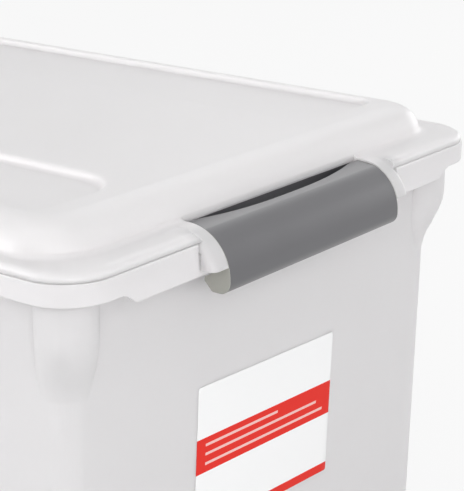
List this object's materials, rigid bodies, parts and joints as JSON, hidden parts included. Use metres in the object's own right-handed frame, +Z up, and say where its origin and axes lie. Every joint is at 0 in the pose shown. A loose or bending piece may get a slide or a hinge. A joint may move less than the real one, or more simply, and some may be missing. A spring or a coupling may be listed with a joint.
{
  "type": "portable file box",
  "caption": "Translucent moulded file tote with rails for hanging folders, a lift-off lid with stacking tracks and a hinged latch at each end.",
  "frame": {"origin": "on the surface the box stands on, under the middle of the box", "axes": "+X across the width, +Y along the length towards the end without a label, +Z up"},
  "size_m": [0.347, 0.444, 0.281],
  "materials": {
    "body_plastic": "satin",
    "lid_plastic": "satin",
    "latch_plastic": "semi-gloss",
    "disc_plastic": "satin",
    "label_paper": "satin"
  },
  "bodies": {
    "tote": {"tote": "body_plastic", "glide_disc_front_left": "disc_plastic", "glide_disc_front_right": "disc_plastic", "glide_disc_rear_left": "disc_plastic", "glide_disc_rear_right": "disc_plastic", "label": "label_paper"},
    "lid": {"lid": "lid_plastic"},
    "latch_front": {"latch_front": "latch_plastic"},
    "latch_rear": {"latch_rear": "latch_plastic"}
  },
  "joints": [
    {"name": "lid_lift", "type": "slide", "parent": "tote", "child": "lid", "axis": [0, 0, 1], "range_m": [0, 0.3]},
    {"name": "latch_front_hinge", "type": "hinge", "parent": "lid", "child": "latch_front", "pos_m": [0, -0.196, 0.2621], "axis": [-1, 0, 0], "range_deg": [0, 96]},
    {"name": "latch_rear_hinge", "type": "hinge", "parent": "lid", "child": "latch_rear", "pos_m": [0, 0.196, 0.2621], "axis": [1, 0, 0], "range_deg": [0, 96]}
  ]
}
